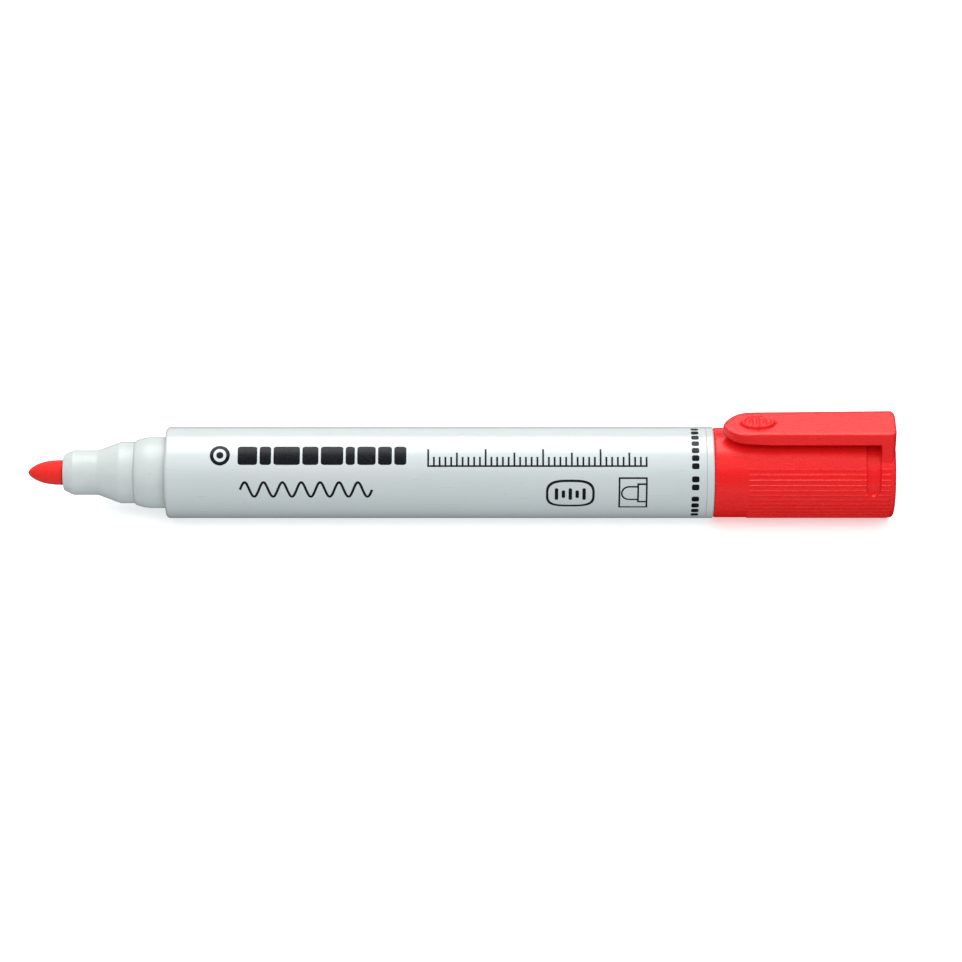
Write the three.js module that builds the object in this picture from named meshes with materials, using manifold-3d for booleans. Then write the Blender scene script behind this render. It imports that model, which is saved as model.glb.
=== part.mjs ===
// A whiteboard marker with a bullet nib, lying on its side with the cap pushed on its rear end.
// Millimetres. X runs along the marker from the nib to the cap's closed end, and Z points up through
// the clip. The origin is under the middle of the marker, on the surface that it lies on.

import * as THREE from "three";
import { mergeVertices } from "three/addons/utils/BufferGeometryUtils.js";
import Module from "manifold-3d";

const wasm = await Module();
wasm.setup();

// ---------------------------------------------------------------- driving dimensions

const FLATS = 32; // flats round every turned piece
const CORNER_STEPS = 3; // steps round a small corner
const FIT_GAP = 0.05; // radial gap where one piece is pushed into another
const SEAM_GAP = 0.03; // gap at a seam where two pieces meet face to face

const BODY_RADIUS = 8; // barrel, plug flange and cap
const CAP_END = 151.9; // nib tip to the cap's closed end, the marker's whole length

// Places along the marker are distances from the nib's tip.
const NOSE_FACE = 6.3;
const NOSE_CHAMFER_END = 8.05;
const NOSE_STRAIGHT_END = 12.35;
const NOSE_FLARE_END = 16.3;
const NOSE_SEAM = 18.9;
const BARREL_FRONT = 24.4;
const BARREL_REAR = 118.95;
const CAP_RIM = 120.35;

const NIB_RADIUS = 2.2;
const NIB_LENGTH = 42;
const NIB_POINT = 6.2; // length of the bullet point
const NIB_POINT_FULLNESS = 2.4; // the point's outline is a superellipse with these two powers
const NIB_POINT_BLUNTNESS = 0.65;
const NIB_REAR_POINT = 2.5; // cone that is pushed into the reservoir
const NIB_REAR_RADIUS = 0.7;
const NIB_STEPS = 9; // rings along the point

const NOSE_MOUTH_RADIUS = 3.1;
const NOSE_RADIUS = 3.94;
const NOSE_NECK_RADIUS = 5.41;
const NOSE_SLEEVE_RADIUS = 4.9;
const NOSE_WALL = 1;
const NOSE_SLEEVE_END = 30;

const COLLAR_LIP_RADIUS = 5.66;
const COLLAR_RADIUS = 6.25; // the cap seals here
const COLLAR_BULGE = 2.65; // length over which the lip swells to the full radius
const COLLAR_STEPS = 4; // rings along the swell
const COLLAR_SPIGOT_RADIUS = 5.7;
const COLLAR_SPIGOT_END = 33;

const BARREL_WALL = 1.3;
const BARREL_FRONT_WALL = 1.6;
const BARREL_CORNER = 0.55;

const POST_LENGTH = 11; // the cap is pushed on this
const POST_WALL = 1.15;
const PLUG_SPIGOT_LENGTH = 8;

const RESERVOIR_START = 33.5;
const RESERVOIR_END = 110.5;
const RESERVOIR_RADIUS = 6;
const FILM_THICKNESS = 0.2;
const BREATHER_RADIUS = 0.6;
const BREATHER_BORE = 0.35;
const BREATHER_FLATS = 12;

const CAP_CORNER = 0.6;
const CAP_RIM_CORNER = 0.35;
const CAP_END_WALL = 2.05;
const LEAD_IN = 0.4; // chamfer where a piece is entered or enters another
const CUT_MARGIN = 1; // how far a cutting shape reaches beyond what it cuts

const SLOT_WIDTH = 2.6; // groove round the cap under the clip's root
const SLOT_DEPTH = 0.8;
const SLOT_HALF_ANGLE = THREE.MathUtils.degToRad(83);

const LINER_MOUTH = 12.5; // depths from the cap's rim
const LINER_FLOOR = 26;
const LINER_BORE = 4;
const LINER_WALL = 1;

const CLIP_TIP = 1.45; // distance from the cap's rim
const CLIP_TIP_HEIGHT = 11.1; // outer face above the marker's axis
const CLIP_ROOT_HEIGHT = 11.3;
const CLIP_TIP_DIP = 0.4; // the outer face bends down by this much at the tip
const CLIP_DIP_LENGTH = 6.5;
const CLIP_THICKNESS = 2.1;
const CLIP_TIP_WIDTH = 6.5;
const CLIP_TIP_LENGTH = 4.4; // length of the pointed tip
const CLIP_TIP_FULLNESS = 0.65; // 0.5 is an ellipse, and 1 is a parabola
const CLIP_STEPS = 9; // steps along the tip
const CLIP_ROOT_WIDTH = 6.9;
const CLIP_ROOT_LENGTH = 2.6; // the wall that joins the clip to the cap
const CLIP_ROOT_BASE_WIDTH = 8.8; // the wall flares towards the cap
const CLIP_ROOT_BASE_HEIGHT = 6.5; // inside the shell
const CLIP_HINGE_GAP = 0.3;
const CLIP_FOOT_START = 1.3; // the foot rests on the cap, this far from the tip
const CLIP_FOOT_LENGTH = 1.7;
const CLIP_FOOT_RAMP = 0.6;
const CLIP_FOOT_WIDTH = 3.2;
const PAD_FROM_RIM = 7.5; // middle of the raised oval pad
const PAD_LENGTH = 6.3;
const PAD_WIDTH = 3.7;
const PAD_HEIGHT = 0.6;

// ---------------------------------------------------------------- worked out from them

const CAP_LENGTH = CAP_END - CAP_RIM;
const CAP_BORE = COLLAR_RADIUS + FIT_GAP;
const BARREL_BORE = BODY_RADIUS - BARREL_WALL;
const FILM_RADIUS = RESERVOIR_RADIUS + FIT_GAP + FILM_THICKNESS;
const CLIP_ROOT = CAP_LENGTH - CLIP_ROOT_LENGTH;
const CLIP_RISE = (CLIP_ROOT_HEIGHT - CLIP_TIP_HEIGHT) / (CAP_LENGTH - CLIP_TIP);

// ---------------------------------------------------------------- materials

const material = (color, roughness) => new THREE.MeshStandardMaterial({ color, roughness, metalness: 0 });

const silverWhite = material(0xe3e6e6, 0.3);
const noseWhite = material(0xe0e3e3, 0.4);
const capRed = material(0xe02a28, 0.35);
const nibRed = material(0xe8362e, 0.9);
const fibreRed = material(0xc23a34, 1);
const clearFilm = material(0xdfe6ea, 0.2);
const naturalPlastic = material(0xeeeae2, 0.5);

// ---------------------------------------------------------------- shape helpers

// Points [x, radius] on a round corner, from one angle to another, in degrees.
function corner(x, radius, size, from, to) {
  return Array.from({ length: CORNER_STEPS + 1 }, (_, i) => {
    const angle = THREE.MathUtils.degToRad(from + ((to - from) * i) / CORNER_STEPS);
    return [x + size * Math.cos(angle), radius + size * Math.sin(angle)];
  });
}

// A profile of [x, radius] points turned about X. It runs towards +X on the outside. The radii are
// those of the flats, and one flat faces straight down.
function turned(profile) {
  const half = Math.PI / FLATS;
  const points = profile.map(([x, radius]) => new THREE.Vector2(radius / Math.cos(half), x));
  return new THREE.LatheGeometry(points, FLATS, half).rotateZ(-Math.PI / 2);
}

// A closed ring profile ends where it starts.
const ring = (profile) => turned([...profile, profile[0]]);

function solid(geometry) {
  const bare = geometry.clone().deleteAttribute("normal").deleteAttribute("uv");
  const merged = mergeVertices(bare, 1e-4);
  return new wasm.Manifold(
    new wasm.Mesh({
      numProp: 3,
      vertProperties: merged.getAttribute("position").array,
      triVerts: new Uint32Array(merged.index.array),
    }),
  );
}

function geometryOf(manifold) {
  const { vertProperties, triVerts } = manifold.getMesh();
  const geometry = new THREE.BufferGeometry();
  geometry.setAttribute("position", new THREE.BufferAttribute(vertProperties, 3));
  geometry.setIndex(new THREE.BufferAttribute(triVerts, 1));
  const flat = geometry.toNonIndexed();
  flat.computeVertexNormals();
  return flat;
}

function named(name, geometry, finish) {
  const mesh = new THREE.Mesh(geometry, finish);
  mesh.name = name;
  return mesh;
}

// An outline drawn in X and Y, raised along Z from low to high.
function raised(outline, low, high) {
  const depth = high - low;
  return new THREE.ExtrudeGeometry(outline, { depth, bevelEnabled: false }).translate(0, 0, low);
}

// An outline drawn in X and Z, spread across Y to the half width on both sides.
function spread(outline, halfWidth) {
  const options = { depth: 2 * halfWidth, bevelEnabled: false };
  return new THREE.ExtrudeGeometry(outline, options).translate(0, 0, -halfWidth).rotateX(Math.PI / 2);
}

// ---------------------------------------------------------------- writing end

function nib() {
  const point = Array.from({ length: NIB_STEPS + 1 }, (_, i) => {
    const along = 1 - Math.cos(((i / NIB_STEPS) * Math.PI) / 2);
    const swell = (1 - (1 - along) ** NIB_POINT_FULLNESS) ** NIB_POINT_BLUNTNESS;
    return [along * NIB_POINT, swell * NIB_RADIUS];
  });
  const rear = [
    [NIB_LENGTH - NIB_REAR_POINT, NIB_RADIUS],
    [NIB_LENGTH, NIB_REAR_RADIUS],
    [NIB_LENGTH, 0],
  ];
  return turned([...point, ...rear]);
}

function nibHolder() {
  const bore = NIB_RADIUS + FIT_GAP;
  const seam = NOSE_SEAM - SEAM_GAP;
  const inner = NOSE_SLEEVE_RADIUS - NOSE_WALL;
  return ring([
    [NOSE_FACE, bore],
    [NOSE_FACE, NOSE_MOUTH_RADIUS],
    [NOSE_CHAMFER_END, NOSE_RADIUS],
    [NOSE_STRAIGHT_END, NOSE_RADIUS],
    [NOSE_FLARE_END, NOSE_NECK_RADIUS],
    [seam, NOSE_NECK_RADIUS],
    [seam, NOSE_SLEEVE_RADIUS],
    [NOSE_SLEEVE_END, NOSE_SLEEVE_RADIUS],
    [NOSE_SLEEVE_END, inner],
    [NOSE_FLARE_END, inner],
    [NOSE_STRAIGHT_END, bore],
  ]);
}

function frontCollar() {
  const shoulder = BARREL_FRONT - SEAM_GAP;
  const bore = NOSE_SLEEVE_RADIUS + FIT_GAP;
  const swell = Array.from({ length: COLLAR_STEPS + 1 }, (_, i) => {
    const along = i / COLLAR_STEPS;
    const rise = Math.sin((along * Math.PI) / 2) * (COLLAR_RADIUS - COLLAR_LIP_RADIUS);
    return [NOSE_SEAM + along * COLLAR_BULGE, COLLAR_LIP_RADIUS + rise];
  });
  return ring([
    [NOSE_SEAM, bore],
    ...swell,
    [shoulder, COLLAR_RADIUS],
    [shoulder, COLLAR_SPIGOT_RADIUS],
    [COLLAR_SPIGOT_END, COLLAR_SPIGOT_RADIUS],
    [COLLAR_SPIGOT_END, bore],
  ]);
}

// ---------------------------------------------------------------- barrel and what it holds

function barrel() {
  const mouth = COLLAR_SPIGOT_RADIUS + FIT_GAP;
  const rear = BARREL_REAR;
  return ring([
    [BARREL_FRONT, mouth],
    ...corner(BARREL_FRONT + BARREL_CORNER, BODY_RADIUS - BARREL_CORNER, BARREL_CORNER, 180, 90),
    [rear, BODY_RADIUS],
    [rear, BARREL_BORE],
    [BARREL_FRONT + BARREL_FRONT_WALL, BARREL_BORE],
    [BARREL_FRONT + BARREL_FRONT_WALL, mouth],
  ]);
}

function endPlug() {
  const front = BARREL_REAR + SEAM_GAP;
  const start = front - PLUG_SPIGOT_LENGTH;
  const rim = CAP_RIM - FIT_GAP;
  const end = CAP_RIM + POST_LENGTH - FIT_GAP;
  const hollow = COLLAR_RADIUS - POST_WALL;
  return turned([
    [end - POST_WALL, 0],
    [end - POST_WALL, hollow],
    [start, hollow],
    [start, BARREL_BORE - FIT_GAP],
    [front, BARREL_BORE - FIT_GAP],
    [front, BODY_RADIUS],
    ...corner(rim - CAP_RIM_CORNER, BODY_RADIUS - CAP_RIM_CORNER, CAP_RIM_CORNER, 90, 0),
    [rim, COLLAR_RADIUS],
    [end - LEAD_IN, COLLAR_RADIUS],
    [end, COLLAR_RADIUS - LEAD_IN],
    [end, 0],
  ]);
}

// The breather lies in a groove along the underside of the fibre.
const breatherHeight = BREATHER_RADIUS + FIT_GAP - RESERVOIR_RADIUS;

function inkReservoir() {
  const bore = NIB_RADIUS + FIT_GAP;
  const socketEnd = NIB_LENGTH + FIT_GAP;
  const fibre = turned([
    [socketEnd, 0],
    [socketEnd, bore],
    [RESERVOIR_START, bore],
    [RESERVOIR_START, RESERVOIR_RADIUS],
    [RESERVOIR_END, RESERVOIR_RADIUS],
    [RESERVOIR_END, 0],
  ]);
  const width = 2 * (BREATHER_RADIUS + FIT_GAP);
  const length = RESERVOIR_END - RESERVOIR_START + 2 * CUT_MARGIN;
  const middle = (RESERVOIR_START + RESERVOIR_END) / 2;
  const groove = new THREE.BoxGeometry(length, width, 2 * width);
  groove.translate(middle, 0, breatherHeight - width / 2);
  return geometryOf(solid(fibre).subtract(solid(groove)));
}

function reservoirFilm() {
  const inner = FILM_RADIUS - FILM_THICKNESS;
  return ring([
    [RESERVOIR_START, inner],
    [RESERVOIR_START, FILM_RADIUS],
    [RESERVOIR_END, FILM_RADIUS],
    [RESERVOIR_END, inner],
  ]);
}

function breatherTube() {
  const profile = [
    [RESERVOIR_START, BREATHER_BORE],
    [RESERVOIR_START, BREATHER_RADIUS - FIT_GAP],
    [RESERVOIR_END, BREATHER_RADIUS - FIT_GAP],
    [RESERVOIR_END, BREATHER_BORE],
    [RESERVOIR_START, BREATHER_BORE],
  ];
  const points = profile.map(([x, radius]) => new THREE.Vector2(radius, x));
  return new THREE.LatheGeometry(points, BREATHER_FLATS).rotateZ(-Math.PI / 2);
}

// ---------------------------------------------------------------- cap, in distances from its rim

// The heights of the clip's outer face and underside at a distance along the cap.
const clipTop = (x) => CLIP_TIP_HEIGHT + (x - CLIP_TIP) * CLIP_RISE;
const clipUnderside = (x) => clipTop(x) - CLIP_THICKNESS;

// The wall at the closed end that carries the clip. It starts inside the shell, which it is joined to.
function clipRootWall() {
  const top = clipTop(CAP_LENGTH);
  const base = CLIP_ROOT_BASE_HEIGHT;
  const side = new THREE.Shape();
  side.moveTo(CLIP_ROOT, base);
  side.lineTo(CAP_LENGTH - CAP_CORNER, base);
  side.lineTo(CAP_LENGTH, BODY_RADIUS - CAP_CORNER);
  side.lineTo(CAP_LENGTH, top - CAP_CORNER);
  side.absarc(CAP_LENGTH - CAP_CORNER, top - CAP_CORNER, CAP_CORNER, 0, Math.PI / 2, false);
  side.lineTo(CLIP_ROOT, clipTop(CLIP_ROOT));
  const end = new THREE.Shape([
    new THREE.Vector2(-CLIP_ROOT_BASE_WIDTH / 2, base),
    new THREE.Vector2(CLIP_ROOT_BASE_WIDTH / 2, base),
    new THREE.Vector2(CLIP_ROOT_WIDTH / 2, top),
    new THREE.Vector2(-CLIP_ROOT_WIDTH / 2, top),
  ]);
  const flared = new THREE.ExtrudeGeometry(end, { depth: CAP_LENGTH, bevelEnabled: false });
  flared.rotateX(Math.PI / 2).rotateZ(Math.PI / 2);
  return solid(spread(side, CLIP_ROOT_BASE_WIDTH)).intersect(solid(flared));
}

// A groove cut round the cap's surface under the clip, with a semicircle at each end.
function slotCutter() {
  const endRadius = SLOT_WIDTH / 2;
  const floor = BODY_RADIUS - SLOT_DEPTH;
  const outside = BODY_RADIUS + CUT_MARGIN;
  const turn = SLOT_HALF_ANGLE - Math.asin(endRadius / BODY_RADIUS);
  const outline = new THREE.Shape();
  outline.absarc(0, 0, outside, Math.PI / 2 - turn, Math.PI / 2 + turn, false);
  outline.absarc(0, 0, floor, Math.PI / 2 + turn, Math.PI / 2 - turn, true);
  const options = { depth: SLOT_WIDTH, bevelEnabled: false, curveSegments: FLATS / 2 };
  const sector = new THREE.ExtrudeGeometry(outline, options);
  sector.rotateX(Math.PI / 2).rotateZ(Math.PI / 2).translate(CLIP_ROOT - SLOT_WIDTH, 0, 0);
  return [-turn, turn].reduce((cutter, angle) => {
    const end = new THREE.CylinderGeometry(endRadius, endRadius, outside - floor, FLATS / 2);
    end.rotateX(Math.PI / 2).translate(CLIP_ROOT - endRadius, 0, (outside + floor) / 2).rotateX(angle);
    return cutter.add(solid(end));
  }, solid(sector));
}

function capShell() {
  const shell = turned([
    [CAP_LENGTH - CAP_END_WALL, 0],
    [CAP_LENGTH - CAP_END_WALL, CAP_BORE],
    [LEAD_IN, CAP_BORE],
    [0, CAP_BORE + LEAD_IN],
    ...corner(CAP_RIM_CORNER, BODY_RADIUS - CAP_RIM_CORNER, CAP_RIM_CORNER, 180, 90),
    ...corner(CAP_LENGTH - CAP_CORNER, BODY_RADIUS - CAP_CORNER, CAP_CORNER, 90, 0),
    [CAP_LENGTH, 0],
  ]);
  return geometryOf(solid(shell).subtract(slotCutter()).add(clipRootWall()));
}

function innerCap() {
  const outer = LINER_BORE + LINER_WALL;
  const skirt = CAP_BORE - FIT_GAP;
  const end = CAP_LENGTH - CAP_END_WALL - FIT_GAP;
  const floor = LINER_FLOOR + LINER_WALL;
  return turned([
    [LINER_FLOOR, 0],
    [LINER_FLOOR, LINER_BORE],
    [LINER_MOUTH + LEAD_IN, LINER_BORE],
    [LINER_MOUTH, LINER_BORE + LEAD_IN],
    [LINER_MOUTH, outer],
    [LINER_FLOOR, outer],
    [LINER_FLOOR, skirt],
    [end, skirt],
    [end, skirt - LINER_WALL],
    [floor, skirt - LINER_WALL],
    [floor, 0],
  ]);
}

// The clip from above: a blunt point that widens into straight sides.
function clipPlan(root) {
  const share = (i) => 1 - Math.cos(((i / CLIP_STEPS) * Math.PI) / 2);
  const tip = Array.from({ length: CLIP_STEPS + 1 }, (_, i) => {
    const halfWidth = (1 - (1 - share(i)) ** 2) ** CLIP_TIP_FULLNESS * (CLIP_TIP_WIDTH / 2);
    return new THREE.Vector2(CLIP_TIP + share(i) * CLIP_TIP_LENGTH, halfWidth);
  });
  const far = [...tip, new THREE.Vector2(root, CLIP_ROOT_WIDTH / 2)];
  const near = far.slice(1).reverse();
  return new THREE.Shape([...far, ...near.map((point) => new THREE.Vector2(point.x, -point.y))]);
}

// The clip from the side. Its outer face bends down towards the tip.
function clipSide(root) {
  const side = new THREE.Shape();
  side.moveTo(CLIP_TIP - CUT_MARGIN, clipUnderside(CLIP_TIP - CUT_MARGIN));
  side.lineTo(root, clipUnderside(root));
  side.lineTo(root, clipTop(root));
  for (let i = 0; i <= CLIP_STEPS; i++) {
    const share = i / CLIP_STEPS;
    const x = CLIP_TIP + CLIP_DIP_LENGTH * (1 - share);
    side.lineTo(x, clipTop(x) - CLIP_TIP_DIP * share ** 2);
  }
  side.lineTo(CLIP_TIP - CUT_MARGIN, clipTop(CLIP_TIP) - 2 * CLIP_TIP_DIP);
  return side;
}

function clip() {
  const root = CLIP_ROOT - CLIP_HINGE_GAP;
  const footStart = CLIP_TIP + CLIP_FOOT_START;
  const footEnd = footStart + CLIP_FOOT_LENGTH;
  const insideCap = BODY_RADIUS - 2 * CUT_MARGIN;
  const insideArm = clipUnderside(footStart) + CLIP_THICKNESS / 2;
  const foot = new THREE.Shape([
    new THREE.Vector2(footStart + CLIP_FOOT_RAMP, insideCap),
    new THREE.Vector2(footEnd - CLIP_FOOT_RAMP, insideCap),
    new THREE.Vector2(footEnd, insideArm),
    new THREE.Vector2(footStart, insideArm),
  ]);

  const pad = new THREE.Shape();
  pad.absellipse(PAD_FROM_RIM, 0, PAD_LENGTH / 2, PAD_WIDTH / 2, 0, 2 * Math.PI, false, 0);
  const padTop = clipTop(PAD_FROM_RIM) + PAD_HEIGHT;

  const reach = 2 * BODY_RADIUS;
  const outside = BODY_RADIUS + FIT_GAP;
  const capSurface = turned([[0, 0], [0, outside], [CAP_LENGTH, outside], [CAP_LENGTH, 0]]);
  const arm = solid(raised(clipPlan(root), 0, reach)).intersect(solid(spread(clipSide(root), reach)));
  const footed = arm.add(solid(spread(foot, CLIP_FOOT_WIDTH / 2)));
  const padded = footed.add(solid(raised(pad, padTop - 2 * PAD_HEIGHT, padTop)));
  return geometryOf(padded.subtract(solid(capSurface)));
}

// ---------------------------------------------------------------- assembly

const capGroup = new THREE.Group();
capGroup.add(named("cap_shell", capShell(), capRed));
capGroup.add(named("inner_cap", innerCap(), naturalPlastic));
capGroup.add(named("clip", clip(), capRed));
capGroup.position.x = CAP_RIM;

const breather = named("breather_tube", breatherTube(), naturalPlastic);
breather.position.z = breatherHeight;

const group = new THREE.Group();
group.add(named("nib", nib(), nibRed));
group.add(named("nib_holder", nibHolder(), noseWhite));
group.add(named("front_collar", frontCollar(), noseWhite));
group.add(named("barrel", barrel(), silverWhite));
group.add(named("ink_reservoir", inkReservoir(), fibreRed));
group.add(named("reservoir_film", reservoirFilm(), clearFilm));
group.add(breather);
group.add(named("end_plug", endPlug(), silverWhite));
group.add(capGroup);
group.position.set(-CAP_END / 2, 0, BODY_RADIUS);

export default group;
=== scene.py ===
import math

import bmesh
import bpy
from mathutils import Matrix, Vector, noise


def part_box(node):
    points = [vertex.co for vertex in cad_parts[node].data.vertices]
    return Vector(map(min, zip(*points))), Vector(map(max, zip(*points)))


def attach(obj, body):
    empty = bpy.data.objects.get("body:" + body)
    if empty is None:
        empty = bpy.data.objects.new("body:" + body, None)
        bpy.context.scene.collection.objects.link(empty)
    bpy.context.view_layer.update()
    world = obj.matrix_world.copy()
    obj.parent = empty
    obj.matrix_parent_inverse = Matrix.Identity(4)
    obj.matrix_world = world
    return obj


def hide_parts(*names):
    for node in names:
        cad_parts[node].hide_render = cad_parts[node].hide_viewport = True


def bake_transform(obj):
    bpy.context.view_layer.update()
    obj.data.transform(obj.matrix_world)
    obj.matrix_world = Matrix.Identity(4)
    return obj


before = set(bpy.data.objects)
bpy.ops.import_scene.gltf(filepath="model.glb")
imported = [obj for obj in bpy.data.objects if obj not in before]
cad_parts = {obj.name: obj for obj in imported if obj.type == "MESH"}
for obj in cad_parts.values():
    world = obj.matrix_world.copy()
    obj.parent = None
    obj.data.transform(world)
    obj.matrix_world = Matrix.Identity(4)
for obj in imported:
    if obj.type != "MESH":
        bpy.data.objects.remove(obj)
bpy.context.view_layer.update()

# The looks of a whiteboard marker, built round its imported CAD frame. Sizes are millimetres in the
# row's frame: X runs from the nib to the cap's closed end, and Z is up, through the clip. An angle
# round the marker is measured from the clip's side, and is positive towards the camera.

MM = 0.001
TURN = math.tau


def span(node):
    """Where a CAD node starts and ends along the marker."""
    low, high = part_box(node)
    return low.x / MM, high.x / MM


def radius(node):
    """Half a turned CAD node's width."""
    low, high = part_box(node)
    return (high.y - low.y) / 2 / MM


barrel_low, barrel_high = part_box("barrel")
AXIS_HEIGHT = (barrel_low.z + barrel_high.z) / 2 / MM
BODY = radius("barrel")
NIB_TIP, NIB_END = span("nib")
NOSE_START, NOSE_END = span("nib_holder")
COLLAR_START, COLLAR_END = span("front_collar")
BARREL_START, BARREL_END = span("barrel")
PLUG_START, PLUG_END = span("end_plug")
CAP_RIM, CAP_END = span("cap_shell")
LINER_START, LINER_END = span("inner_cap")
CLIP_TIP, CLIP_HINGE = span("clip")
FIBRE_START, FIBRE_END = span("ink_reservoir")

# Sizes that the spans above don't give, as in the CAD.
SEAM_GAP = 0.03
FIT_GAP = 0.05
NIB_RADIUS = radius("nib")
NIB_POINT = 6.05
NIB_POINT_FULLNESS = 2.4
NIB_POINT_BLUNTNESS = 0.65
NIB_GRIP_DEPTH = 0.25
NIB_REAR_POINT = 2.5
NIB_REAR_RADIUS = 0.7
NOSE_MOUTH_RADIUS = 3.1
NOSE_RADIUS = 3.94
NOSE_CHAMFER = 1.75
NOSE_STRAIGHT_END = 6.05
NOSE_FLARE_END = 10.0
NOSE_NECK = radius("nib_holder")
NOSE_SLEEVE = 4.9
NOSE_BORE = 3.9
COLLAR_LIP = 5.66
COLLAR_BULGE = 2.65
COLLAR = radius("front_collar")
COLLAR_SPIGOT = 5.7
COLLAR_BORE = 4.95
BARREL_BORE = 6.7
BARREL_MOUTH = 5.75
BARREL_FRONT_WALL = 1.6
BARREL_CORNER = 0.6
POST = COLLAR
POST_BORE = 5.1
POST_END_WALL = 1.2
CAP_BORE = 6.3
CAP_END_WALL = 2.05
SEAM_ROUND = 0.12

CAMERA_ELEVATION = 40
FRONT = math.radians(90 - CAMERA_ELEVATION)


def place(x, r, angle):
    """The point at radius r from the marker's axis."""
    return Vector((x, -r * math.sin(angle), AXIS_HEIGHT + r * math.cos(angle))) * MM


# ---------------------------------------------------------------- meshes

WELD_DISTANCE = 1e-8


def even_angles(count):
    """That many angles at one pitch round the whole turn."""
    return [TURN * i / count for i in range(count)]


def smooth_step(value):
    """0 up to 0 and 1 from 1 on, with a soft S between them."""
    value = min(1, max(0, value))
    return value * value * (3 - 2 * value)


def filleted(corners, closed=False, steps=5):
    """An outline's points, from corners (x, r, fillet radius)."""
    points = []
    last = len(corners) - 1
    for i, (x, r, size) in enumerate(corners):
        if size == 0 or (not closed and i in (0, last)):
            points.append((x, r))
            continue
        here = Vector((x, r))
        back = (Vector(corners[i - 1][:2]) - here).normalized()
        onward = (Vector(corners[(i + 1) % (last + 1)][:2]) - here).normalized()
        half = back.angle(onward) / 2
        centre = here + (back + onward).normalized() * (size / math.sin(half))
        start = here + back * (size / math.tan(half)) - centre
        end = here + onward * (size / math.tan(half)) - centre
        for k in range(steps + 1):
            spot = centre + start.lerp(end, k / steps).normalized() * size
            points.append((spot.x, spot.y))
    return points + points[:1] if closed else points


def bridge(bm, near, far):
    """Faces between two rings. A ring of one vertex is a pole."""
    count = max(len(near), len(far))
    for i in range(count):
        j = (i + 1) % count
        corners = [near[i % len(near)], near[j % len(near)], far[j % len(far)], far[i % len(far)]]
        bm.faces.new(list(dict.fromkeys(corners)))


def finish_mesh(bm, name, material, sharp=40):
    """Turns a bmesh into a smooth-shaded object whose flat stretches stay flat."""
    bmesh.ops.remove_doubles(bm, verts=bm.verts, dist=WELD_DISTANCE)
    bmesh.ops.recalc_face_normals(bm, faces=bm.faces)
    mesh = bpy.data.meshes.new(name)
    bm.to_mesh(mesh)
    bm.free()
    mesh.shade_smooth()
    mesh.set_sharp_from_angle(angle=math.radians(sharp))
    mesh.materials.append(material)
    piece = bpy.data.objects.new(name, mesh)
    bpy.context.scene.collection.objects.link(piece)
    normals = piece.modifiers.new("even_normals", "WEIGHTED_NORMAL")
    normals.keep_sharp = True
    return piece


def turned(name, profile, material, angles=None, lift=None, sharp=40):
    """A profile of (x, r) turned about the marker's axis. lift(x, r, angle) adds to the radius."""
    angles = angles or even_angles(144)
    bm = bmesh.new()
    rings = []
    for x, r in profile:
        if r < 1e-6:
            rings.append([bm.verts.new(place(x, 0, 0))])
            continue
        rings.append([bm.verts.new(place(x, r + (lift(x, r, a) if lift else 0), a)) for a in angles])
    for near, far in zip(rings, rings[1:]):
        bridge(bm, near, far)
    return finish_mesh(bm, name, material, sharp)


def stands_for(piece, node, body):
    """The piece rides on a body in place of a CAD node, which it hides."""
    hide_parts(node)
    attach(piece, body)


# ---------------------------------------------------------------- materials


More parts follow.
